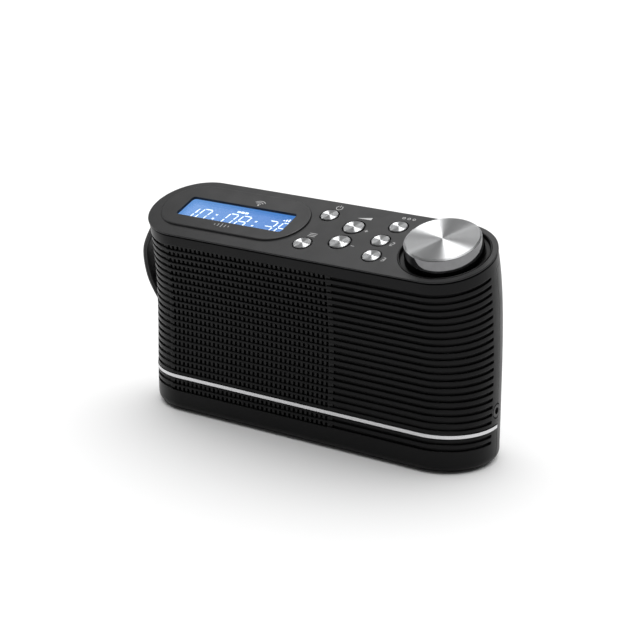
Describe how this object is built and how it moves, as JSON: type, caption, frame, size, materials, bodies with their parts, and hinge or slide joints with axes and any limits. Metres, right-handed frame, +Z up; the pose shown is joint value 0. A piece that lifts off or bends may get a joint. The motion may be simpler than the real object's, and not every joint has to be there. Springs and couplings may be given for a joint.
{
  "type": "tabletop radio",
  "caption": "Portable tabletop digital radio with ribbed speaker front, sloping control top, large rotary knob, lit display, carrying strap and folding aerial.",
  "frame": {"origin": "centre of the case's footprint, on the surface the radio stands on", "axes": "+Z up, -Y towards the listener, +X to the right seen from the front, along the case"},
  "size_m": [0.2169, 0.0612, 0.124],
  "materials": {
    "case_plastic": "fine matt texture, near black",
    "panel_plastic": "satin soft-touch paint, charcoal",
    "grille_plastic": "matt black",
    "bright_trim": "satin silver",
    "speaker_cloth": "fine black acoustic cloth",
    "bezel_plastic": "satin charcoal",
    "window_clear": "clear polished acrylic",
    "display_lit": "lit blue display with pale characters",
    "backlight_guide": "white light guide",
    "inner_plastic": "moulded black",
    "circuit_board": "green solder mask",
    "component_black": "moulded component black",
    "connector_white": "natural nylon",
    "steel": "zinc plated",
    "magnet_steel": "ferrite and plated steel",
    "spun_aluminium": "spun satin face",
    "gloss_black": "polished black",
    "dark_chrome": "polished black chrome",
    "cone_paper": "pressed paper pulp",
    "black_rubber": "matt",
    "foam_black": "closed cell foam",
    "cable_plastic": "insulated leads",
    "bright_chrome": "polished",
    "strap_rubber": "matt moulded"
  },
  "bodies": {
    "radio": {"front_case": "case_plastic", "rear_cover": "case_plastic", "top_panel": "panel_plastic", "trim_strip": "bright_trim", "grille_insert": "grille_plastic", "speaker_cloth": "speaker_cloth", "lcd_bezel": "bezel_plastic", "lcd_window": "window_clear", "lcd_display": "display_lit", "lcd_backlight": "backlight_guide", "lcd_holder": "inner_plastic", "control_board": "circuit_board", "tact_switches": "component_black", "encoder_body": "component_black", "encoder_nut": "steel", "knob_well": "gloss_black", "speaker_basket": "steel", "speaker_magnet": "magnet_steel", "speaker_cone": "cone_paper", "speaker_surround": "black_rubber", "speaker_dust_cap": "cone_paper", "speaker_gasket": "foam_black", "speaker_screws": "steel", "main_board": "circuit_board", "radio_module": "steel", "board_chips": "component_black", "board_capacitors": "component_black", "board_connectors": "connector_white", "board_screws": "steel", "ribbon_cable": "cable_plastic", "internal_wires": "cable_plastic", "battery_box": "inner_plastic", "battery_plates": "steel", "battery_springs": "steel", "headphone_socket": "component_black", "dc_socket": "component_black", "aerial_mount": "steel", "base_ring": "black_rubber", "rear_screws": "steel", "strap": "strap_rubber", "strap_anchors": "steel"},
    "power_button": {"power_button": "spun_aluminium"},
    "menu_button": {"menu_button": "spun_aluminium"},
    "volume_up_button": {"volume_up_button": "spun_aluminium"},
    "volume_down_button": {"volume_down_button": "spun_aluminium"},
    "preset_one_button": {"preset_one_button": "spun_aluminium"},
    "preset_two_button": {"preset_two_button": "spun_aluminium"},
    "preset_three_button": {"preset_three_button": "spun_aluminium"},
    "encoder": {"encoder_rotor": "inner_plastic"},
    "knob": {"encoder_shaft": "steel", "knob_skirt": "dark_chrome", "knob_cap": "spun_aluminium"},
    "battery_door": {"battery_door": "case_plastic"},
    "aerial_swivel": {"aerial_swivel": "bright_chrome"},
    "aerial_tube_one": {"aerial_tube_one": "bright_chrome"},
    "aerial_tube_two": {"aerial_tube_two": "bright_chrome"},
    "aerial_tube_three": {"aerial_tube_three": "bright_chrome"},
    "aerial_tube_four": {"aerial_tube_four": "bright_chrome"},
    "aerial_tip": {"aerial_tip": "bright_chrome"}
  },
  "joints": [
    {"name": "power_press", "type": "slide", "parent": "radio", "child": "power_button", "axis": [0, 0.3156, -0.9489], "range_m": [0, 0.0008], "stiffness_N_per_m": 1500, "springref_m": -0.0005},
    {"name": "menu_press", "type": "slide", "parent": "radio", "child": "menu_button", "axis": [0, 0.3156, -0.9489], "range_m": [0, 0.0008], "stiffness_N_per_m": 1500, "springref_m": -0.0005},
    {"name": "volume_up_press", "type": "slide", "parent": "radio", "child": "volume_up_button", "axis": [0, 0.3156, -0.9489], "range_m": [0, 0.0008], "stiffness_N_per_m": 1500, "springref_m": -0.0005},
    {"name": "volume_down_press", "type": "slide", "parent": "radio", "child": "volume_down_button", "axis": [0, 0.3156, -0.9489], "range_m": [0, 0.0008], "stiffness_N_per_m": 1500, "springref_m": -0.0005},
    {"name": "preset_one_press", "type": "slide", "parent": "radio", "child": "preset_one_button", "axis": [0, 0.3156, -0.9489], "range_m": [0, 0.0008], "stiffness_N_per_m": 1500, "springref_m": -0.0005},
    {"name": "preset_two_press", "type": "slide", "parent": "radio", "child": "preset_two_button", "axis": [0, 0.3156, -0.9489], "range_m": [0, 0.0008], "stiffness_N_per_m": 1500, "springref_m": -0.0005},
    {"name": "preset_three_press", "type": "slide", "parent": "radio", "child": "preset_three_button", "axis": [0, 0.3156, -0.9489], "range_m": [0, 0.0008], "stiffness_N_per_m": 1500, "springref_m": -0.0005},
    {"name": "knob_turn", "type": "hinge", "parent": "radio", "child": "encoder", "pos_m": [0.0761, -0.0071, 0.1106], "axis": [0, -0.3156, 0.9489], "continuous": true},
    {"name": "knob_press", "type": "slide", "parent": "encoder", "child": "knob", "axis": [0, 0.3156, -0.9489], "range_m": [0, 0.0004], "stiffness_N_per_m": 4000, "springref_m": -0.0005},
    {"name": "battery_door_hinge", "type": "hinge", "parent": "radio", "child": "battery_door", "pos_m": [0.0425, 0.0269, 0.01545], "axis": [-1, 0, 0], "range_deg": [0, 95]},
    {"name": "aerial_swing", "type": "hinge", "parent": "radio", "child": "aerial_swivel", "pos_m": [0.086, 0.0256, 0.103], "axis": [0, 1, 0], "range_deg": [0, 180]},
    {"name": "aerial_tilt", "type": "hinge", "parent": "aerial_swivel", "child": "aerial_tube_one", "pos_m": [0.086, 0.0256, 0.103], "axis": [0, 0, -1], "range_deg": [0, 90]},
    {"name": "aerial_extend_one", "type": "slide", "parent": "aerial_tube_one", "child": "aerial_tube_two", "axis": [-1, 0, 0], "range_m": [0, 0.12]},
    {"name": "aerial_extend_two", "type": "slide", "parent": "aerial_tube_two", "child": "aerial_tube_three", "axis": [-1, 0, 0], "range_m": [0, 0.12]},
    {"name": "aerial_extend_three", "type": "slide", "parent": "aerial_tube_three", "child": "aerial_tube_four", "axis": [-1, 0, 0], "range_m": [0, 0.12]},
    {"name": "aerial_extend_four", "type": "slide", "parent": "aerial_tube_four", "child": "aerial_tip", "axis": [-1, 0, 0], "range_m": [0, 0.12]}
  ]
}
